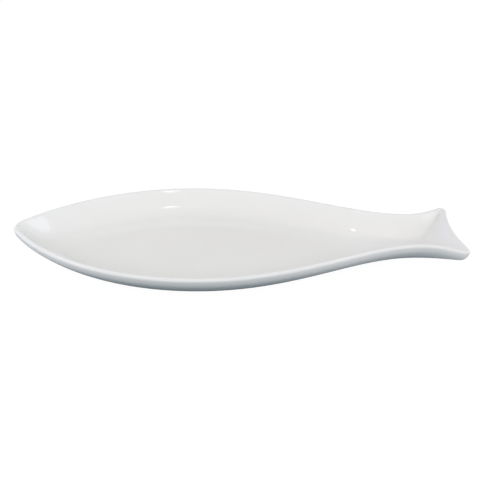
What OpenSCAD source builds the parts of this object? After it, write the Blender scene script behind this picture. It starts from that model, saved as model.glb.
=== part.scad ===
// Fish shaped serving platter of glazed porcelain.
// The nose is at -X, the tail at +X, the platter stands on its foot ring at Z = 0.
// The wall has one section all the way round: a round rim, inside it a straight flank and a fillet into
// a flat floor, outside it a rounded shoulder and a long curve under the platter. The section is swept
// inwards from the fish outline by a smooth distance from the edge, so that the walls run into each
// other in soft valleys at the nose and at the tips of the tail.

/* [Outline] */
// Radius of the rounded nose, seen from above
nose_r = 17.5; // [15:0.5:20]
// Half of the angle between the two sides just behind the nose
nose_angle = 50; // [46:1:54]
// Distance from the nose to the widest place
belly_x = 164; // [156:1:172]
// Width at the widest place
belly_w = 166; // [150:1:180]
// Fullness of the side in front of the widest place, nose end
nose_pull = 31.5; // [29:0.5:37]
// Fullness of the side in front of the widest place, belly end
belly_pull_front = 87; // [80:1:92]
// Fullness of the side behind the widest place, belly end
belly_pull_back = 88; // [80:1:96]
// Fullness of the side behind the widest place, waist end
waist_pull_front = 51; // [45:1:57]
// Distance from the nose to the waist in front of the tail
waist_x = 360; // [354:1:364]
// Width at the waist
waist_w = 58.6; // [50:0.2:66]
// Fullness of the tail's flank at the waist
waist_pull_back = 13.5; // [8:0.5:18]
// Fullness of the tail's flank at the tip
tip_pull_front = 8; // [4:0.5:12]
// Distance from the nose to the tail's tips, before they are rounded
tail_x = 400; // [396:1:406]
// Width over the tail's tips, before they are rounded
tail_w = 90; // [82:1:98]
// Angle at which the tail's flank flares out at the tip
tail_flare = 29; // [24:1:34]
// Angle of the tail's end edge at the tip, from the long axis
tail_end_angle = 101; // [96:1:106]
// Radius of the rounded tips of the tail
tip_r = 5; // [4.6:0.1:6]
// Distance from the nose to the bottom of the tail's notch
notch_x = 393.5; // [391:0.5:396]
// Fullness of the tail's end edge at the tip
tip_pull_back = 17; // [12:0.5:20]
// Fullness of the tail's end edge at the notch
notch_pull = 13; // [8:0.5:16]

/* [Wall] */
// Radius of the round rim, half of the wall's thickness
rim_r = 2.4; // [2:0.1:2.5]
// Slope of the straight flank on the inside, from the table
wall_angle = 54; // [48:1:58]
// Length of the straight flank on the inside
flank_in = 16.5; // [12:0.5:18]
// Radius of the fillet between the flank and the floor
floor_fillet = 17.5; // [14:0.5:20]
// Slope at which the outer wall leaves the rim, from the table
shoulder_angle = 86; // [83:1:88]
// Radius of the shoulder of the outer wall, under the rim
shoulder_r = 12.5; // [11:0.5:14]
// Slope where the shoulder runs into the long outer curve
outer_angle = 52.5; // [50:0.5:55]
// Radius of the long outer curve
outer_r = 61; // [56:1:65]
// Slope at which the outer curve turns into the underside
under_angle = 28; // [26:1:31]
// Radius of the turn from the outer curve to the underside
under_fillet = 10; // [6:0.5:12]
// How much higher the end of the tail stands than the nose
tail_lift = 4.1; // [2:0.1:5]
// Distance from the nose where the rise to the tail begins
lift_x = 200; // [180:5:220]

/* [Foot] */
// Clear height of the glazed underside over the table
base_gap = 2; // [1.5:0.1:3]
// Distance from the nose to the front end of the foot ring
foot_front = 52; // [50:1:58]
// Distance from the nose to the back end of the foot ring
foot_back = 298; // [285:1:300]
// Width of the foot ring, as a part of the platter's width
foot_fill = 0.58; // [0.5:0.01:0.6]
// Width of the foot ring's bare face
foot_face = 5; // [4:0.5:6]

/* [Glaze] */
// Thickness of the fused glaze
glaze_t = 0.4; // [0.3:0.05:0.6]

/* [Hidden] */

// facets along the half outline: nose, front side, back side, tail flank, tip and tail end
seg_nose = 3;
seg_front = 15;
seg_back = 15;
seg_flank = 6;
seg_tip = 6;
seg_end = 5;
// facets across the section: rim, inner wall, floor and outer wall
seg_rim = 6;
seg_wall = 7;
seg_floor = 3;
seg_out = 8;
n = seg_nose + seg_front + seg_back + seg_flank + seg_tip + seg_end;
N = 2 * n;

// ---------- outline ----------
function bez(a, b, c, d, t) =
    pow(1 - t, 3) * a + 3 * t * pow(1 - t, 2) * b + 3 * t * t * (1 - t) * c + pow(t, 3) * d;
function bez_dir(a, b, c, d, t) =
    let (v = pow(1 - t, 2) * (b - a) + 2 * t * (1 - t) * (c - b) + t * t * (d - c)) v / norm(v);
function unit(a) = [cos(a), sin(a)];
// one sample of the outline: its point and its direction
function arc_pt(c, r, a) = [c + r * unit(a), [sin(a), -cos(a)]];
function bez_pt(a, b, c, d, t) = [bez(a, b, c, d, t), bez_dir(a, b, c, d, t)];

nose_end = [nose_r, 0] + nose_r * unit(90 + nose_angle);
belly = [belly_x, belly_w / 2];
waist = [waist_x, waist_w / 2];
tip = [tail_x, tail_w / 2];
tip_in = unit(tail_flare);
tip_out = unit(-tail_end_angle);
tip_cut = tip_r * tan((tail_flare + tail_end_angle) / 2);
tip_a = tip - tip_cut * tip_in;
tip_b = tip + tip_cut * tip_out;
tip_c = tip_a + tip_r * [tip_in.y, -tip_in.x];
notch = [notch_x, 0];

half = concat(
    [for (k = [0:seg_nose - 1]) arc_pt([nose_r, 0], nose_r, 180 - (90 - nose_angle) * k / seg_nose)],
    [for (k = [0:seg_front - 1])
        bez_pt(nose_end, nose_end + nose_pull * unit(nose_angle), belly - [belly_pull_front, 0], belly, k / seg_front)],
    [for (k = [0:seg_back - 1])
        bez_pt(belly, belly + [belly_pull_back, 0], waist - [waist_pull_front, 0], waist, k / seg_back)],
    [for (k = [0:seg_flank - 1])
        bez_pt(waist, waist + [waist_pull_back, 0], tip_a - tip_pull_front * tip_in, tip_a, k / seg_flank)],
    [for (k = [0:seg_tip - 1])
        arc_pt(tip_c, tip_r, 90 + tail_flare - (tail_flare + tail_end_angle) * k / seg_tip)],
    [for (k = [0:seg_end])
        bez_pt(tip_b, tip_b + tip_pull_back * tip_out, notch + [0, notch_pull], notch, k / seg_end)]
);
// the platter is centred over the origin along its length
mid_x = max([for (h = half) h[0].x]) / 2;
P = [for (h = half) h[0] - [mid_x, 0]];
inward = [for (h = half) [h[1].y, -h[1].x]];
loop = concat(P, [for (i = [n - 1:-1:1]) [P[i].x, -P[i].y]]);

// ---------- smooth distance from the edge ----------
// Each side of the outline adds the integral of 1 / distance^5 along it. Over a long straight edge
// the sum gives the plain distance back, and where edges face each other it rounds the valley.
edges = [for (i = [0:N - 1])
    let (a = loop[i], b = loop[(i + 1) % N], l = norm(b - a)) [a, (b - a) / l, l, (a + b) / 2]];
ones = [for (e = edges) 1];
function edge_prim(t, d) = t * (2 * t * t + 3 * d * d) / (3 * pow(d, 4) * pow(d * d + t * t, 1.5));
function edge_sum(p, e) =
    let (m = norm(p - e[3]))
    m > 4 * e[2] ? e[2] / pow(m, 5) :
    let (w = e[0] - p, t = w * e[1], d = max(0.02, abs(w.x * e[1].y - w.y * e[1].x)))
    edge_prim(t + e[2], d) - edge_prim(t, d);
function inset(p) = pow(4 / (3 * ([for (e = edges) edge_sum(p, e)] * ones)), 0.25);

// ---------- section of the wall, q is the depth under the glaze ----------
sb = sin(wall_angle);
cb = cos(wall_angle);
// height of the inner surface over the rim's centre, at distance s from the edge
function rise_in(s, q) =
    let (s0 = rim_r + (rim_r - q) * sb, z0 = (rim_r - q) * cb,
         s1 = s0 + flank_in * cb, z1 = z0 - flank_in * sb, r = floor_fillet + q,
         s2 = s1 + r * sb, z2 = z1 - r * (1 - cb))
    s < s1 ? z0 - (s - s0) * sb / cb : s < s2 ? z2 + r - sqrt(r * r - pow(s2 - s, 2)) : z2;
// height of the outer surface over the rim's centre: three arcs, each tangent to the next
ss = sin(shoulder_angle);
cs = cos(shoulder_angle);
so = sin(outer_angle);
co = cos(outer_angle);
su = sin(under_angle);
cu = cos(under_angle);
function sag(r, u) = sqrt(max(0, r * r - u * u));
function rise_out(s, q) =
    let (s0 = rim_r - (rim_r - q) * ss, z0 = -(rim_r - q) * cs, a = shoulder_r - q,
         s1 = s0 + a * (ss - so), z1 = z0 - a * (co - cs), r = outer_r - q,
         s2 = s1 + r * (so - su), z2 = z1 - r * (cu - co), f = under_fillet - q,
         s3 = s2 + f * su, z3 = z2 - f * (1 - cu))
    s < s1 ? z0 + a * cs - sag(a, s0 + a * ss - s) :
    s < s2 ? z1 + r * co - sag(r, s1 + r * so - s) :
    s < s3 ? z3 + f - sag(f, s3 - s) : z3;
rim_z = base_gap - rise_out(1000, 0);
function lift(x) = tail_lift * pow(max(0, x + mid_x - lift_x) / (tail_x - lift_x), 2);
function at(p, z) = [p.x, p.y, rim_z + lift(p.x) + z];

// ---------- rings of points, for the half with y >= 0 ----------
// the middle line that the rings close on: it runs at half pace near the nose and in the tail
function pace(x) = x < 60 ? 30 + x / 2 : x > 340 ? 340 + (x - 340) / 2 : x;
tail_i = n - seg_end;
pace_x = [for (i = [0:n]) pace(i <= tail_i ? half[i][0].x : half[tail_i][0].x + 8 * (i - tail_i) / seg_end)];
// foot ring: an oval part of the way from the middle line to the edge, its ends on the middle line
foot_is = [for (i = [0:n]) if (pace_x[i] > foot_front + 3 && pace_x[i] < foot_back - 3) i];
fa = foot_is[0];
fb = foot_is[len(foot_is) - 1];
spine_x = [for (i = [0:n]) i == fa - 1 ? foot_front : i == fb + 1 ? foot_back : pace_x[i]];
spine = [for (x = spine_x) [x - mid_x, 0]];
function oval(u) = sqrt(max(0, 1 - u * u));
fill = [for (i = [0:n]) i < fa || i > fb ? 0 :
    foot_fill * oval((2 * spine_x[i] - foot_front - foot_back) / (foot_back - foot_front))];
foot_pt = [for (i = [0:n]) spine[i] + (P[i] - spine[i]) * fill[i]];

function rim_ring(a, q) =
    [for (i = [0:n]) at(P[i] + inward[i] * (rim_r - (rim_r - q) * cos(a)), (rim_r - q) * sin(a))];
// inner surface, from the middle line out to the rim
function inner_rings(q) =
    let (s0 = rim_r + (rim_r - q) * sb,
         d = [for (i = [0:n]) P[i] + inward[i] * s0],
         gap = [for (i = [0:n]) s0 - inset(d[i])],
         span = [for (i = [0:n]) let (l = norm(spine[i] - d[i])) min(26 / l, 0.8)])
    [for (j = [seg_wall + seg_floor:-1:1]) [for (i = [0:n])
        let (f = j <= seg_wall ? span[i] * j / seg_wall : span[i] + (1 - span[i]) * (j - seg_wall) / seg_floor,
             p = d[i] + (spine[i] - d[i]) * f)
        at(p, rise_in(inset(p) + gap[i] * pow(max(0, 1 - j / seg_wall), 2), q))]];
// outer surface, from the rim in to the foot ring or the middle line
function outer_rings(q) =
    let (s0 = rim_r - (rim_r - q) * ss,
         d = [for (i = [0:n]) P[i] + inward[i] * s0],
         gap = [for (i = [0:n]) s0 - inset(d[i])])
    [for (j = [1:seg_out]) [for (i = [0:n])
        let (f = pow(j / seg_out, 2), p = d[i] + (foot_pt[i] - d[i]) * f)
        at(p, rise_out(inset(p) + gap[i] * pow(1 - f, 2), q))]];
function sheet(q) = concat(
    inner_rings(q),
    [for (k = [0:seg_rim]) rim_ring(90 + wall_angle - (180 + wall_angle - shoulder_angle) * k / seg_rim, q)],
    outer_rings(q));

// ---------- points and faces of one sheet: well, rim and outside down to the foot ----------
rings = seg_wall + seg_floor + seg_rim + 1 + seg_out;
function flip(p) = [p.x, -p.y, p.z];
function sheet_pts(s) = concat(
    s[0],
    [for (k = [1:rings - 2]) each concat(s[k], [for (i = [n - 1:-1:1]) flip(s[k][i])])],
    s[rings - 1],
    [for (i = [fa:fb]) flip(s[rings - 1][i])]);
first_end = n + 1 + (rings - 2) * N;
count = first_end + n + 1 + fb - fa + 1;
function vid(k, i) =
    k == 0 ? (i <= n ? i : N - i) :
    k < rings - 1 ? n + 1 + (k - 1) * N + i :
    i <= n ? first_end + i :
    fill[N - i] > 0 ? first_end + n + 1 + N - i - fa : first_end + N - i;
sheet_faces = [for (k = [0:rings - 2]) for (i = [0:N - 1])
    let (j = (i + 1) % N, a = vid(k, i), b = vid(k + 1, i), c = vid(k + 1, j), d = vid(k, j))
    each [[a, b, c], [a, c, d]]];
function turned(f) = [f[2], f[1], f[0]];

// the closed line where the outside meets the foot ring
foot_loop = concat([for (i = [fa - 1:fb + 1]) i], [for (i = [fb:-1:fa]) N - i]);
fl = len(foot_loop);
foot_ids = [for (i = foot_loop) vid(rings - 1, i)];
foot_xy = [for (i = foot_loop) i <= n ? foot_pt[i] : [foot_pt[N - i].x, -foot_pt[N - i].y]];
// the inner edge of the foot's bare face
recess_xy = [for (t = [0:fl - 1])
    let (v = foot_xy[(t + 1) % fl] - foot_xy[(t + fl - 1) % fl])
    foot_xy[t] + foot_face * [v.y, -v.x] / norm(v)];

module recess(z0, z1) {
    translate([0, 0, z0]) linear_extrude(height = z1 - z0) polygon(recess_xy);
}

// ---------- the pieces ----------
// vitrified body with its foot ring; the foot's face on the table is bare
module porcelain_body() {
    s = sheet(glaze_t);
    color([0.93, 0.92, 0.90])
    difference() {
        polyhedron(
            points = concat(sheet_pts(s), [for (p = foot_xy) [p.x, p.y, 0]]),
            faces = concat(
                sheet_faces,
                [for (t = [0:fl - 1]) let (u = (t + 1) % fl)
                    each [[foot_ids[t], count + t, count + u], [foot_ids[t], count + u, foot_ids[u]]]],
                [[for (t = [fl - 1:-1:0]) count + t]]));
        recess(-1, base_gap + glaze_t);
    }
}

// glaze over the well, the rim and the outside, down to the foot ring
module glaze_coat() {
    color([0.97, 0.97, 0.96])
    polyhedron(
        points = concat(sheet_pts(sheet(0)), sheet_pts(sheet(glaze_t))),
        faces = concat(
            sheet_faces,
            [for (f = sheet_faces) turned(f) + [count, count, count]],
            [for (t = [0:fl - 1]) let (u = (t + 1) % fl, a = foot_ids[t], b = foot_ids[u])
                each [[a, a + count, b + count], [a, b + count, b]]]));
}

// glaze on the underside inside the foot ring
module base_glaze() {
    color([0.96, 0.96, 0.95]) recess(base_gap, base_gap + glaze_t);
}

porcelain_body();
glaze_coat();
base_glaze();
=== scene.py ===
import math
import bpy
import numpy as np
from mathutils import Matrix, Vector


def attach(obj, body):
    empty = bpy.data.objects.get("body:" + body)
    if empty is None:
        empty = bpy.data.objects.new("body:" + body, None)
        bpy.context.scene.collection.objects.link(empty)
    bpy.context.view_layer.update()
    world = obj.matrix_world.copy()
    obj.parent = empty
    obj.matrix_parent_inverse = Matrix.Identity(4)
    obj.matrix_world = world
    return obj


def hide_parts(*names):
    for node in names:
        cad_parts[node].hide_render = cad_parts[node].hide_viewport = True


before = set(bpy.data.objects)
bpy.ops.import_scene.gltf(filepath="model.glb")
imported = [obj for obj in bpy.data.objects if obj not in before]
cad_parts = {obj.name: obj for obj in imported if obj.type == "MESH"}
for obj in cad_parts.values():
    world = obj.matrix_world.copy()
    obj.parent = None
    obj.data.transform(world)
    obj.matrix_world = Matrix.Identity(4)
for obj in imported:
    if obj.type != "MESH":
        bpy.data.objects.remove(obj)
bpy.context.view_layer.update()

# ---------------------------------------------------------------------------------------------
# Driving dimensions in millimetres, as in the construction
# ---------------------------------------------------------------------------------------------
NOSE_R, NOSE_ANGLE = 17.5, 50.0
BELLY = np.array([164.0, 83.0])
NOSE_PULL, BELLY_PULL_FRONT, BELLY_PULL_BACK = 31.5, 87.0, 88.0
WAIST = np.array([360.0, 29.3])
WAIST_PULL_FRONT, WAIST_PULL_BACK = 51.0, 13.5
TIP = np.array([400.0, 45.0])
TAIL_FLARE, TAIL_END_ANGLE, TIP_R = 29.0, 101.0, 5.0
TIP_PULL_FRONT, TIP_PULL_BACK, NOTCH_PULL = 8.0, 17.0, 13.0
NOTCH = np.array([393.5, 0.0])
RIM_R, WALL_ANGLE = 2.4, 54.0
FLANK_IN, FLOOR_FILLET = 16.5, 17.5
SHOULDER_ANGLE, SHOULDER_R, OUTER_ANGLE, OUTER_R, UNDER_ANGLE, UNDER_FILLET = 86.0, 12.5, 52.5, 61.0, 28.0, 10.0
TAIL_LIFT, LIFT_X = 4.1, 200.0
BASE_GAP, FOOT_FRONT, FOOT_BACK, FOOT_FILL, FOOT_FACE = 2.0, 52.0, 298.0, 0.58, 5.0
GLAZE_T = 0.4

# samples along the half outline and across the section
SEG_NOSE, SEG_FRONT, SEG_BACK, SEG_FLANK, SEG_TIP, SEG_END = 8, 62, 66, 18, 16, 16
SEG_RIM, SEG_WALL, SEG_FLOOR, SEG_OUT = 16, 24, 10, 30
n = SEG_NOSE + SEG_FRONT + SEG_BACK + SEG_FLANK + SEG_TIP + SEG_END
N = 2 * n


# ---------------------------------------------------------------------------------------------
# Outline
# ---------------------------------------------------------------------------------------------
def unit(a):
    return np.array([math.cos(math.radians(a)), math.sin(math.radians(a))])


def bezier(a, b, c, d, count, closed=False):
    """count samples at even lengths along a cubic, as points and directions; the end is left out unless closed."""
    def pos(t):
        t = t[:, None]
        return (1 - t) ** 3 * a + 3 * t * (1 - t) ** 2 * b + 3 * t * t * (1 - t) * c + t ** 3 * d
    fine = np.linspace(0, 1, 2001)
    length = np.concatenate([[0], np.cumsum(np.linalg.norm(np.diff(pos(fine), axis=0), axis=1))])
    t = np.interp(np.linspace(0, 1, count + 1) * length[-1], length, fine)
    if not closed:
        t = t[:-1]
    u = t[:, None]
    v = (1 - u) ** 2 * (b - a) + 2 * u * (1 - u) * (c - b) + u * u * (d - c)
    return pos(t), v / np.linalg.norm(v, axis=1)[:, None]


def arc(c, r, a0, a1, count):
    a = np.radians(np.linspace(a0, a1, count + 1)[:-1])
    return c + r * np.stack([np.cos(a), np.sin(a)], 1), np.stack([np.sin(a), -np.cos(a)], 1)


nose_end = np.array([NOSE_R, 0]) + NOSE_R * unit(90 + NOSE_ANGLE)
tip_in, tip_out = unit(TAIL_FLARE), unit(-TAIL_END_ANGLE)
tip_cut = TIP_R * math.tan(math.radians((TAIL_FLARE + TAIL_END_ANGLE) / 2))
tip_a, tip_b = TIP - tip_cut * tip_in, TIP + tip_cut * tip_out
tip_c = tip_a + TIP_R * np.array([tip_in[1], -tip_in[0]])
X = np.array([1.0, 0.0])
runs = [
    arc(np.array([NOSE_R, 0]), NOSE_R, 180, 90 + NOSE_ANGLE, SEG_NOSE),
    bezier(nose_end, nose_end + NOSE_PULL * unit(NOSE_ANGLE), BELLY - BELLY_PULL_FRONT * X, BELLY, SEG_FRONT),
    bezier(BELLY, BELLY + BELLY_PULL_BACK * X, WAIST - WAIST_PULL_FRONT * X, WAIST, SEG_BACK),
    bezier(WAIST, WAIST + WAIST_PULL_BACK * X, tip_a - TIP_PULL_FRONT * tip_in, tip_a, SEG_FLANK),
    arc(tip_c, TIP_R, 90 + TAIL_FLARE, 90 - TAIL_END_ANGLE, SEG_TIP),
    bezier(tip_b, tip_b + TIP_PULL_BACK * tip_out, NOTCH + np.array([0, NOTCH_PULL]), NOTCH, SEG_END, closed=True),
]
half = np.concatenate([r[0] for r in runs])
direction = np.concatenate([r[1] for r in runs])
MID_X = half[:, 0].max() / 2
P = half - [MID_X, 0]
inward = np.stack([direction[:, 1], -direction[:, 0]], 1)
P[0, 1] = P[n, 1] = 0.0
loop = np.concatenate([P, (P * [1, -1])[n - 1:0:-1]])


# ---------------------------------------------------------------------------------------------
# Smooth distance from the edge: the sum over the outline of the integral of 1 / distance^5
# ---------------------------------------------------------------------------------------------
edge_a = loop
edge_b = np.roll(loop, -1, 0)
edge_l = np.linalg.norm(edge_b - edge_a, axis=1)
edge_u = (edge_b - edge_a) / edge_l[:, None]
edge_m = (edge_a + edge_b) / 2


def inset(p):
    p = np.asarray(p, float)
    out = np.empty(len(p))
    for k in range(0, len(p), 1500):
        q = p[k:k + 1500]
        m = np.hypot(q[:, None, 0] - edge_m[None, :, 0], q[:, None, 1] - edge_m[None, :, 1])
        wx = edge_a[None, :, 0] - q[:, None, 0]
        wy = edge_a[None, :, 1] - q[:, None, 1]
        t = wx * edge_u[:, 0] + wy * edge_u[:, 1]
        d = np.maximum(0.02, np.abs(wx * edge_u[:, 1] - wy * edge_u[:, 0]))
        def prim(t):
            return t * (2 * t * t + 3 * d * d) / (3 * d ** 4 * (d * d + t * t) ** 1.5)
        near = prim(t + edge_l) - prim(t)
        far = edge_l / np.maximum(m, 1e-6) ** 5
        out[k:k + 1500] = (4 / (3 * np.where(m > 4 * edge_l, far, near).sum(1))) ** 0.25
    return out


# ---------------------------------------------------------------------------------------------
# Section of the wall; q is the depth under the surface of the glaze
# ---------------------------------------------------------------------------------------------
def sin_cos(a):
    return math.sin(math.radians(a)), math.cos(math.radians(a))


SB, CB = sin_cos(WALL_ANGLE)
SS, CS = sin_cos(SHOULDER_ANGLE)
SO, CO = sin_cos(OUTER_ANGLE)
SU, CU = sin_cos(UNDER_ANGLE)


def root(v):
    return np.sqrt(np.maximum(v, 0))


def rise_in(s, q):
    s = np.asarray(s, float)
    s0, z0 = RIM_R + (RIM_R - q) * SB, (RIM_R - q) * CB
    s1, z1, r = s0 + FLANK_IN * CB, z0 - FLANK_IN * SB, FLOOR_FILLET + q
    s2, z2 = s1 + r * SB, z1 - r * (1 - CB)
    return np.where(s < s1, z0 - (s - s0) * SB / CB, np.where(s < s2, z2 + r - root(r * r - (s2 - s) ** 2), z2))


def rise_out(s, q):
    """Shoulder under the rim, long outer curve, and the turn into the underside: three arcs, each tangent to the next."""
    s = np.asarray(s, float)
    s0, z0, a = RIM_R - (RIM_R - q) * SS, -(RIM_R - q) * CS, SHOULDER_R - q
    s1, z1, r = s0 + a * (SS - SO), z0 - a * (CO - CS), OUTER_R - q
    s2, z2, f = s1 + r * (SO - SU), z1 - r * (CU - CO), UNDER_FILLET - q
    s3, z3 = s2 + f * SU, z2 - f * (1 - CU)
    shoulder = z0 + a * CS - root(a * a - (s0 + a * SS - s) ** 2)
    belly = z1 + r * CO - root(r * r - (s1 + r * SO - s) ** 2)
    turn = z3 + f - root(f * f - (s3 - s) ** 2)
    return np.where(s < s1, shoulder, np.where(s < s2, belly, np.where(s < s3, turn, z3)))


RIM_Z = BASE_GAP - float(rise_out(1000.0, 0))


def lift(x):
    return TAIL_LIFT * (np.maximum(0, x + MID_X - LIFT_X) / (TIP[0] - LIFT_X)) ** 2


def at(p, z):
    return np.stack([p[:, 0], p[:, 1], RIM_Z + lift(p[:, 0]) + z], 1)


# ---------------------------------------------------------------------------------------------
# Rings of points for the half with y >= 0
# ---------------------------------------------------------------------------------------------
tail_i = n - SEG_END
hx = half[:, 0].copy()
hx[tail_i:] = half[tail_i, 0] + 8 * np.arange(SEG_END + 1) / SEG_END
hx[:tail_i + 1] = np.maximum.accumulate(hx[:tail_i + 1] + 1e-4 * np.arange(tail_i + 1))
hx[tail_i:] += 1e-4 * tail_i
spine_x = np.where(hx < 60, 30 + hx / 2, np.where(hx > 340, 340 + (hx - 340) / 2, hx))
foot_is = np.nonzero((spine_x > FOOT_FRONT + 0.6) & (spine_x < FOOT_BACK - 0.6))[0]
fa, fb = int(foot_is[0]), int(foot_is[-1])
spine_x[fa - 1], spine_x[fb + 1] = FOOT_FRONT, FOOT_BACK
spine = np.stack([spine_x - MID_X, np.zeros(n + 1)], 1)
fill = np.zeros(n + 1)
fill[fa:fb + 1] = FOOT_FILL * root(1 - ((2 * spine_x[fa:fb + 1] - FOOT_FRONT - FOOT_BACK) / (FOOT_BACK - FOOT_FRONT)) ** 2)
foot_pt = spine + (P - spine) * fill[:, None]


def rim_ring(a, q):
    ca, sa = math.cos(math.radians(a)), math.sin(math.radians(a))
    p = P + inward * (RIM_R - (RIM_R - q) * ca)
    return at(p, np.full(n + 1, (RIM_R - q) * sa))


def inner_rings(q):
    s0 = RIM_R + (RIM_R - q) * SB
    d = P + inward * s0
    gap = s0 - inset(d)
    span = np.minimum(26 / np.linalg.norm(spine - d, axis=1), 0.8)
    rings = []
    for j in range(SEG_WALL + SEG_FLOOR, 0, -1):
        u = min(1, j / SEG_WALL) ** 1.25
        f = span * u if j <= SEG_WALL else span + (1 - span) * (j - SEG_WALL) / SEG_FLOOR
        p = d + (spine - d) * f[:, None]
        rings.append(at(p, rise_in(inset(p) + gap * (1 - u) ** 2, q)))
    return rings


def outer_rings(q):
    s0 = RIM_R - (RIM_R - q) * SS
    d = P + inward * s0
    gap = s0 - inset(d)
    rings = []
    for j in range(1, SEG_OUT + 1):
        f = (j / SEG_OUT) ** 2
        p = d + (foot_pt - d) * f
        rings.append(at(p, rise_out(inset(p) + gap * (1 - f) ** 2, q)))
    return rings


def sheet(q):
    return (inner_rings(q)
            + [rim_ring(90 + WALL_ANGLE - (180 + WALL_ANGLE - SHOULDER_ANGLE) * k / SEG_RIM, q) for k in range(SEG_RIM + 1)]
            + outer_rings(q))


RINGS = SEG_WALL + SEG_FLOOR + SEG_RIM + 1 + SEG_OUT
FIRST_END = n + 1 + (RINGS - 2) * N
COUNT = FIRST_END + n + 1 + fb - fa + 1
FLIP = np.array([1, -1, 1])


def sheet_points(s):
    rows = [s[0]]
    for k in range(1, RINGS - 1):
        rows += [s[k], (s[k] * FLIP)[n - 1:0:-1]]
    rows += [s[RINGS - 1], (s[RINGS - 1] * FLIP)[fa:fb + 1]]
    return np.concatenate(rows)


def vid(k, i):
    if k == 0:
        return i if i <= n else N - i
    if k < RINGS - 1:
        return n + 1 + (k - 1) * N + i
    if i <= n:
        return FIRST_END + i
    return FIRST_END + n + 1 + N - i - fa if fill[N - i] > 0 else FIRST_END + N - i


# four-sided faces of the sheet, turned outwards
sheet_faces = [(vid(k, i), vid(k, (i + 1) % N), vid(k + 1, (i + 1) % N), vid(k + 1, i))
               for k in range(RINGS - 1) for i in range(N)]
foot_loop = list(range(fa - 1, fb + 2)) + [N - i for i in range(fb, fa - 1, -1)]
foot_ids = [vid(RINGS - 1, i) for i in foot_loop]
foot_xy = np.array([foot_pt[i] if i <= n else foot_pt[N - i] * [1, -1] for i in foot_loop])
fl = len(foot_loop)
v = np.roll(foot_xy, -1, 0) - np.roll(foot_xy, 1, 0)
foot_in = np.stack([v[:, 1], -v[:, 0]], 1) / np.linalg.norm(v, axis=1)[:, None]


def mesh_object(name, points, faces):
    me = bpy.data.meshes.new(name)
    me.from_pydata((np.asarray(points) / 1000).tolist(), [], faces)
    me.validate()
    me.polygons.foreach_set("use_smooth", [True] * len(me.polygons))
    me.update()
    ob = bpy.data.objects.new(name, me)
    bpy.context.scene.collection.objects.link(ob)
    return ob


# ---------------------------------------------------------------------------------------------
# The pieces
# ---------------------------------------------------------------------------------------------
skin = sheet_points(sheet(0.0))
under = sheet_points(sheet(GLAZE_T))


def ring_faces(a, b):
    """Faces between two closed rows of ids, turned the way the sheet is."""
    m = len(a)
    return [(a[t], a[(t + 1) % m], b[(t + 1) % m], b[t]) for t in range(m)]


# glaze over the well, the rim and the outside, down to the foot ring
coat = mesh_object(
    "platter_glaze",
    np.concatenate([skin, under]),
    sheet_faces + [tuple(COUNT + v for v in reversed(f)) for f in sheet_faces]
    + ring_faces(foot_ids, [COUNT + i for i in foot_ids]))

# body with its foot ring: a softly rounded foot with a bare flat face, and the recess inside it
CEILING = BASE_GAP + GLAZE_T
top_z = under[foot_ids][:, 2]
foot_profile = [(0.05, None, 0.55), (0.18, None, 0.2), (0.45, 0.38, 0), (0.8, 0.12, 0), (1.25, 0.0, 0), (2.5, 0.0, 0),
                (FOOT_FACE - 1.25, 0.0, 0), (FOOT_FACE - 0.8, 0.12, 0), (FOOT_FACE - 0.45, 0.38, 0),
                (FOOT_FACE - 0.18, 0.9, 0), (FOOT_FACE - 0.05, 1.6, 0), (FOOT_FACE, CEILING, 0)]
body_points, body_faces, last = [under], list(sheet_faces), foot_ids
base = COUNT
for w, z, mix in foot_profile:
    p = foot_xy + foot_in * w
    zz = np.full(fl, z) if z is not None else 0.7 + (top_z - 0.7) * mix
    body_points.append(np.concatenate([p, zz[:, None]], 1))
    ids = list(range(base, base + fl))
    body_faces += ring_faces(last, ids)
    last, base = ids, base + fl
# ceiling of the recess: the rows close on the middle line
recess_xy = foot_xy + foot_in * FOOT_FACE


def oval_fill(rows, edge_ids, base, z, up):
    """Points and faces that close an oval row of ids on its own middle line, from y >= 0 and y <= 0 together."""
    m = len(edge_ids)
    top = m // 2
    pts, faces, last = [], [], list(edge_ids)
    mirror = [(m - t) % m for t in range(m)]
    mid = np.stack([recess_xy[:, 0] * 0.97 + 0.03 * recess_xy[:, 0].mean(), np.zeros(m)], 1)
    for k in range(1, rows):
        p = recess_xy + (mid - recess_xy) * (k / rows)
        pts.append(np.concatenate([p, np.full((m, 1), z)], 1))
        ids = list(range(base, base + m))
        faces += ring_faces(last, ids)
        last, base = ids, base + m
    keep = [t for t in range(top + 1)]
    pts.append(np.concatenate([mid[keep], np.full((len(keep), 1), z)], 1))
    ids = [base + min(t, mirror[t]) for t in range(m)]
    faces += [f for f in ring_faces(last, ids)]
    if up:
        faces = [tuple(reversed(f)) for f in faces]
    return pts, faces


pts, faces = oval_fill(8, last, base, CEILING, False)
body_points += pts
body_faces += faces
body = mesh_object("platter_body", np.concatenate(body_points), body_faces)

# glaze on the underside inside the foot ring, thinning to a soft edge at the foot
patch_points, patch_faces = [], []
lower = [(0.0, CEILING), (0.02, CEILING - 0.25), (0.25, BASE_GAP + 0.05), (0.8, BASE_GAP)]
ids0 = list(range(fl))
patch_points.append(np.concatenate([recess_xy, np.full((fl, 1), CEILING)], 1))
last, base = ids0, fl
for w, z in lower[1:]:
    patch_points.append(np.concatenate([recess_xy + foot_in * w, np.full((fl, 1), z)], 1))
    ids = list(range(base, base + fl))
    patch_faces += ring_faces(last, ids)
    last, base = ids, base + fl
edge_xy, recess_keep = recess_xy + foot_in * 0.8, recess_xy
recess_xy = edge_xy
pts, faces = oval_fill(8, last, base, BASE_GAP, False)
patch_points += pts
patch_faces += faces
base += sum(len(p) for p in pts)
recess_xy = recess_keep
pts, faces = oval_fill(8, ids0, base, CEILING, True)
patch_points += pts
patch_faces += faces
patch = mesh_object("platter_base_glaze", np.concatenate(patch_points), patch_faces)

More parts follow.
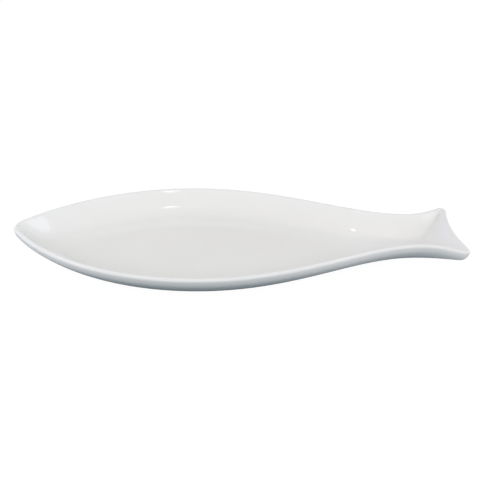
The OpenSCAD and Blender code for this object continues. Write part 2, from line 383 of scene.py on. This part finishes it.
for ob, node, slot in ((coat, "glaze_coat", "white_glaze"), (body, "porcelain_body", "bare_porcelain"),
                       (patch, "base_glaze", "white_glaze")):
    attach(ob, "root")
    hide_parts(node)


# ---------------------------------------------------------------------------------------------
# Materials
# ---------------------------------------------------------------------------------------------
class Nodes:
    def __init__(self, tree):
        self.tree = tree
        tree.nodes.clear()

    def add(self, kind, **inputs):
        node = self.tree.nodes.new(kind)
        for key, value in inputs.items():
            setattr(node, key, value)
        return node

    def link(self, a, b):
        self.tree.links.new(a, b)


def glaze_material(name):
    mat = bpy.data.materials.new(name)
    mat.use_nodes = True
    t = Nodes(mat.node_tree)
    out = t.add("ShaderNodeOutputMaterial")
    bsdf = t.add("ShaderNodeBsdfPrincipled")
    t.link(bsdf.outputs["BSDF"], out.inputs["Surface"])
    bsdf.inputs["IOR"].default_value = 1.5
    coord = t.add("ShaderNodeTexCoord")
    # the body shows through the glaze a little more or less from place to place
    cloud = t.add("ShaderNodeTexNoise")
    cloud.inputs["Scale"].default_value = 14.0
    cloud.inputs["Detail"].default_value = 3.0
    t.link(coord.outputs["Object"], cloud.inputs["Vector"])
    ramp = t.add("ShaderNodeValToRGB")
    ramp.color_ramp.elements[0].position = 0.3
    ramp.color_ramp.elements[0].color = (0.80, 0.80, 0.797, 1)
    ramp.color_ramp.elements[1].position = 0.7
    ramp.color_ramp.elements[1].color = (0.82, 0.82, 0.822, 1)
    t.link(cloud.outputs["Fac"], ramp.inputs["Fac"])
    t.link(ramp.outputs["Color"], bsdf.inputs["Base Color"])
    rough = t.add("ShaderNodeMapRange")
    rough.inputs["To Min"].default_value = 0.02
    rough.inputs["To Max"].default_value = 0.04
    t.link(cloud.outputs["Fac"], rough.inputs["Value"])
    t.link(rough.outputs["Result"], bsdf.inputs["Roughness"])
    # the fired surface lies in very shallow waves
    wave = t.add("ShaderNodeTexNoise")
    wave.inputs["Scale"].default_value = 90.0
    wave.inputs["Detail"].default_value = 2.0
    t.link(coord.outputs["Object"], wave.inputs["Vector"])
    bump = t.add("ShaderNodeBump")
    bump.inputs["Strength"].default_value = 0.2
    bump.inputs["Distance"].default_value = 0.00002
    t.link(wave.outputs["Fac"], bump.inputs["Height"])
    t.link(bump.outputs["Normal"], bsdf.inputs["Normal"])
    return mat


def bare_material(name):
    mat = bpy.data.materials.new(name)
    mat.use_nodes = True
    t = Nodes(mat.node_tree)
    out = t.add("ShaderNodeOutputMaterial")
    bsdf = t.add("ShaderNodeBsdfPrincipled")
    t.link(bsdf.outputs["BSDF"], out.inputs["Surface"])
    coord = t.add("ShaderNodeTexCoord")
    grit = t.add("ShaderNodeTexNoise")
    grit.inputs["Scale"].default_value = 900.0
    grit.inputs["Detail"].default_value = 4.0
    t.link(coord.outputs["Object"], grit.inputs["Vector"])
    ramp = t.add("ShaderNodeValToRGB")
    ramp.color_ramp.elements[0].position = 0.35
    ramp.color_ramp.elements[0].color = (0.60, 0.58, 0.53, 1)
    ramp.color_ramp.elements[1].position = 0.6
    ramp.color_ramp.elements[1].color = (0.74, 0.72, 0.68, 1)
    t.link(grit.outputs["Fac"], ramp.inputs["Fac"])
    t.link(ramp.outputs["Color"], bsdf.inputs["Base Color"])
    rough = t.add("ShaderNodeMapRange")
    rough.inputs["To Min"].default_value = 0.55
    rough.inputs["To Max"].default_value = 0.8
    t.link(grit.outputs["Fac"], rough.inputs["Value"])
    t.link(rough.outputs["Result"], bsdf.inputs["Roughness"])
    bump = t.add("ShaderNodeBump")
    bump.inputs["Strength"].default_value = 0.6
    bump.inputs["Distance"].default_value = 0.0001
    t.link(grit.outputs["Fac"], bump.inputs["Height"])
    t.link(bump.outputs["Normal"], bsdf.inputs["Normal"])
    return mat


glaze = glaze_material("white_glaze")
coat.data.materials.append(glaze)
patch.data.materials.append(glaze)
body.data.materials.append(bare_material("bare_porcelain"))

# ---------------------------------------------------------------------------------------------
# Camera, floor and light
# ---------------------------------------------------------------------------------------------
CAM_EL, CAM_ROLL, CAM_YAW = math.radians(30.842), math.radians(-0.555), math.radians(-0.754)
CAM_TX, CAM_TY, CAM_D, CAM_F = -3.863, 8.405, 523.739, 580.0
se, ce = math.sin(CAM_EL), math.cos(CAM_EL)
cr, sr = math.cos(CAM_ROLL), math.sin(CAM_ROLL)
cy, sy = math.cos(CAM_YAW), math.sin(CAM_YAW)


def unyaw(p):
    return Vector((cy * p[0] + sy * p[1], -sy * p[0] + cy * p[1], p[2]))


right, up, ahead = Vector((1, 0, 0)), Vector((0, se, ce)), Vector((0, ce, -se))
right, up = cr * right - sr * up, sr * right + cr * up
place = unyaw((-CAM_TX, -CAM_TY * se - CAM_D * ce, -CAM_TY * ce + CAM_D * se)) + Vector((200 - MID_X, 0, RIM_Z))
cam_data = bpy.data.cameras.new("camera")
cam = bpy.data.objects.new("camera", cam_data)
bpy.context.scene.collection.objects.link(cam)
r, u, b = unyaw(right), unyaw(up), -unyaw(ahead)
cam.matrix_world = Matrix(((r.x, u.x, b.x, place.x / 1000), (r.y, u.y, b.y, place.y / 1000),
                           (r.z, u.z, b.z, place.z / 1000), (0, 0, 0, 1)))
cam_data.sensor_width = 36.0
cam_data.lens = CAM_F / 480 * 36.0
cam_data.clip_start, cam_data.clip_end = 0.01, 50.0
bpy.context.scene.camera = cam

scene = bpy.context.scene
scene.view_settings.view_transform = "Standard"
scene.view_settings.look = "None"


def plane(name, z, size, hole=None):
    """Level sheet, with a hole inside a closed row of points in millimetres if one is given."""
    me = bpy.data.meshes.new(name)
    if hole is None:
        me.from_pydata([(-size, -size, z), (size, -size, z), (size, size, z), (-size, size, z)], [], [(0, 1, 2, 3)])
    else:
        m, mid = len(hole), (hole.min(0) + hole.max(0)) / 2
        out = mid + (hole - mid) / np.linalg.norm(hole - mid, axis=1)[:, None] * size * 1000
        me.from_pydata([(x / 1000, y / 1000, z) for x, y in np.concatenate([hole, out]).tolist()], [],
                       [(k, m + k, m + (k + 1) % m, (k + 1) % m) for k in range(m)])
    ob = bpy.data.objects.new(name, me)
    scene.collection.objects.link(ob)
    mat = bpy.data.materials.new(name)
    mat.use_nodes = True
    me.materials.append(mat)
    return ob, Nodes(mat.node_tree)


def lit_surface(t, glow, colour):
    """Surface that shines a little and scatters the rest."""
    add = t.add("ShaderNodeAddShader")
    emit = t.add("ShaderNodeEmission")
    emit.inputs["Color"].default_value = (*glow, 1)
    emit.inputs["Strength"].default_value = 1.0
    matte = t.add("ShaderNodeBsdfDiffuse")
    if isinstance(colour, tuple):
        matte.inputs["Color"].default_value = (*colour, 1)
    else:
        t.link(colour, matte.inputs["Color"])
    t.link(emit.outputs["Emission"], add.inputs[0])
    t.link(matte.outputs["BSDF"], add.inputs[1])
    return add.outputs["Shader"]


# pale floor that the camera sees, open from below
floor, t = plane("floor", -0.0001, 6.0)
shown = lit_surface(t, (0.97, 0.97, 0.97), (0.06, 0.06, 0.06))
side = t.add("ShaderNodeNewGeometry")
clear = t.add("ShaderNodeBsdfTransparent")
pick = t.add("ShaderNodeMixShader")
t.link(side.outputs["Backfacing"], pick.inputs[0])
t.link(shown, pick.inputs[1])
t.link(clear.outputs["BSDF"], pick.inputs[2])
out = t.add("ShaderNodeOutputMaterial")
t.link(pick.outputs["Shader"], out.inputs["Surface"])
floor.visible_diffuse = floor.visible_glossy = floor.visible_shadow = False
# the darker table that the glaze mirrors and is lit by, open under the foot, with painted shade for the platter's
# shadow on it: darkest in front of the belly, dark under the tail
table, t = plane("table", -0.0003, 6.0, foot_xy - foot_in * 1.0)
out = t.add("ShaderNodeOutputMaterial")
coord = t.add("ShaderNodeTexCoord")
painted_shade = t.add("ShaderNodeMath", operation="ADD")
# two spots of painted shade, one in front of the belly and one under the tail
for k, (x, y, radius) in enumerate(((-0.03, -0.11, 0.2), (0.2, 0.02, 0.1))):
    spot = t.add("ShaderNodeMapping")
    spot.inputs["Location"].default_value = (-x / radius, -y / radius, 0.0)
    spot.inputs["Scale"].default_value = (1 / radius, 1 / radius, 1 / radius)
    t.link(coord.outputs["Object"], spot.inputs["Vector"])
    fade = t.add("ShaderNodeTexGradient", gradient_type="SPHERICAL")
    t.link(spot.outputs["Vector"], fade.inputs["Vector"])
    t.link(fade.outputs["Fac"], painted_shade.inputs[k])
# the table's own pale grey, turning to painted shade at the two spots
ramp = t.add("ShaderNodeValToRGB")
ramp.color_ramp.elements[0].position = 0.0
ramp.color_ramp.elements[0].color = (0.50, 0.52, 0.53, 1)
ramp.color_ramp.elements[1].position = 0.7
ramp.color_ramp.elements[1].color = (0.155, 0.19, 0.20, 1)
t.link(painted_shade.outputs["Value"], ramp.inputs["Fac"])
# the table's faint bluish glow is painted light that reaches the platter from below
t.link(lit_surface(t, (0.02, 0.03, 0.04), ramp.outputs["Color"]), out.inputs["Surface"])
table.visible_camera = False

# soft dome: a broad light above the camera, light sides and a darker back, at 0, 12, 25, 40, 60 and 90 degrees up
STOPS = (0, 12, 25, 40, 60)
DOME = {
    "front": ((0.40, 0.60, 0.95), (0.33, 0.33, 0.17), (2.02, 2.00, 1.98), (1.21, 1.20, 1.06), (1.26, 1.16, 1.09)),
    "right": ((1.30, 1.45, 1.65), (1.50, 1.47, 1.52), (1.03, 1.04, 1.00), (0.92, 0.92, 1.05), (0.78, 0.83, 0.86)),
    "left": ((1.90, 2.05, 2.75), (0.94, 0.88, 0.73), (1.22, 1.25, 1.51), (0.83, 0.80, 0.78), (0.60, 0.60, 0.60)),
    "back": ((0.50, 0.54, 0.62), (0.72, 0.85, 1.00), (0.38, 0.33, 0.29), (0.71, 0.72, 0.61), (0.53, 0.53, 0.53)),
}
TOP = (0.28, 0.29, 0.30)
BELOW = (0.75, 0.75, 0.75)
world = bpy.data.worlds.new("studio")
scene.world = world
world.use_nodes = True
t = Nodes(world.node_tree)


def math_node(op, a, b=None):
    node = t.add("ShaderNodeMath", operation=op)
    for k, v in enumerate((a, b)):
        if v is None:
            continue
        if isinstance(v, (int, float)):
            node.inputs[k].default_value = v
        else:
            t.link(v, node.inputs[k])
    return node.outputs["Value"]


coord = t.add("ShaderNodeTexCoord")
xyz = t.add("ShaderNodeSeparateXYZ")
t.link(coord.outputs["Generated"], xyz.inputs["Vector"])
dx, dy, dz = xyz.outputs["X"], xyz.outputs["Y"], xyz.outputs["Z"]
# 0.1 on the ramps is the horizon, 0 and 1 are 10 degrees under it and straight up
height = math_node("ADD", math_node("MULTIPLY", math_node("ARCSINE", dz), 0.9 / (math.pi / 2)), 0.1)
flat = math_node("MAXIMUM", math_node("ADD", math_node("MULTIPLY", dx, dx), math_node("MULTIPLY", dy, dy)), 1e-6)


def towards(v):
    return math_node("DIVIDE", math_node("POWER", math_node("MAXIMUM", v, 0.0), 2.0), flat)


share = {"back": towards(dy), "front": towards(math_node("MULTIPLY", dy, -1.0)),
         "right": towards(dx), "left": towards(math_node("MULTIPLY", dx, -1.0))}
total = None
for name, stops in DOME.items():
    ramp = t.add("ShaderNodeValToRGB")
    el = ramp.color_ramp.elements
    el[0].position, el[0].color = 0.0, (*BELOW, 1)
    el[1].position, el[1].color = 1.0, (*TOP, 1)
    for k in range(len(STOPS)):
        e = el.new(0.1 + 0.9 * STOPS[k] / 90)
        e.color = (*stops[k], 1)
    t.link(height, ramp.inputs["Fac"])
    part = t.add("ShaderNodeVectorMath", operation="SCALE")
    t.link(ramp.outputs["Color"], part.inputs["Vector"])
    t.link(share[name], part.inputs["Scale"])
    if total is None:
        total = part.outputs["Vector"]
    else:
        join = t.add("ShaderNodeVectorMath", operation="ADD")
        t.link(total, join.inputs[0])
        t.link(part.outputs["Vector"], join.inputs[1])
        total = join.outputs["Vector"]
back = t.add("ShaderNodeBackground")
t.link(total, back.inputs["Color"])
out = t.add("ShaderNodeOutputWorld")
t.link(back.outputs["Background"], out.inputs["Surface"])


def aim(name, data, target, az, el, far):
    """Put a lamp where it shines at a place; az is from the camera's side towards the tail, angles in degrees."""
    a, e = math.radians(az), math.radians(el)
    away = Vector((math.sin(a) * math.cos(e), -math.cos(a) * math.cos(e), math.sin(e)))
    ob = bpy.data.objects.new(name, data)
    scene.collection.objects.link(ob)
    ob.location = Vector(target) + away * far
    ob.rotation_euler = away.to_track_quat("Z", "Y").to_euler()
    ob.visible_camera = False


def panel(name, target, az, el, size, colour, radiance, grid=None, far=1.5):
    """Flat oval lamp that faces a place; a grid keeps its light within so many degrees of its own axis."""
    data = bpy.data.lights.new(name, "AREA")
    data.shape = "ELLIPSE"
    data.size, data.size_y = size
    data.color = colour
    data.energy = radiance * math.pi * math.pi * size[0] * size[1] / 4
    if grid:
        h = math.radians(grid)
        data.spread = 2 * h
        data.energy *= 1 - h / math.tan(h)
    aim(name, data, target, az, el, far)


panel("overhead", (-0.22, 0.03, 0.0), 180.0, 88.0, (0.5, 0.5), (0.96, 1.0, 0.92), 0.33, None, 0.75)
panel("strip_lamp", (-0.067, 0.068, 0.016), 8.3, 49.1, (0.14, 0.12), (1.0, 0.95, 0.84), 6.0)
panel("window", (-0.16, 0.02, 0.02), 77.0, 38.0, (0.46, 0.19), (0.90, 0.99, 1.10), 1.7)
panel("left_panel", (-0.16, -0.02, 0.028), -76.0, 40.0, (0.34, 0.26), (0.95, 1.0, 1.10), 1.5, None, 0.6)
panel("side_window", (0.177, 0.025, 0.0277), 62.0, 31.0, (0.90, 0.17), (0.92, 0.98, 1.08), 1.2)
panel("spot_lamp", (0.111, 0.0276, 0.0173), -34.5, 47.5, (0.06, 0.17), (1.0, 0.98, 0.93), 14.0, 3.2)
panel("high_spot_lamp", (0.111, 0.0276, 0.0173), -35.5, 52.5, (0.06, 0.17), (1.0, 0.98, 0.93), 14.0, 3.2)
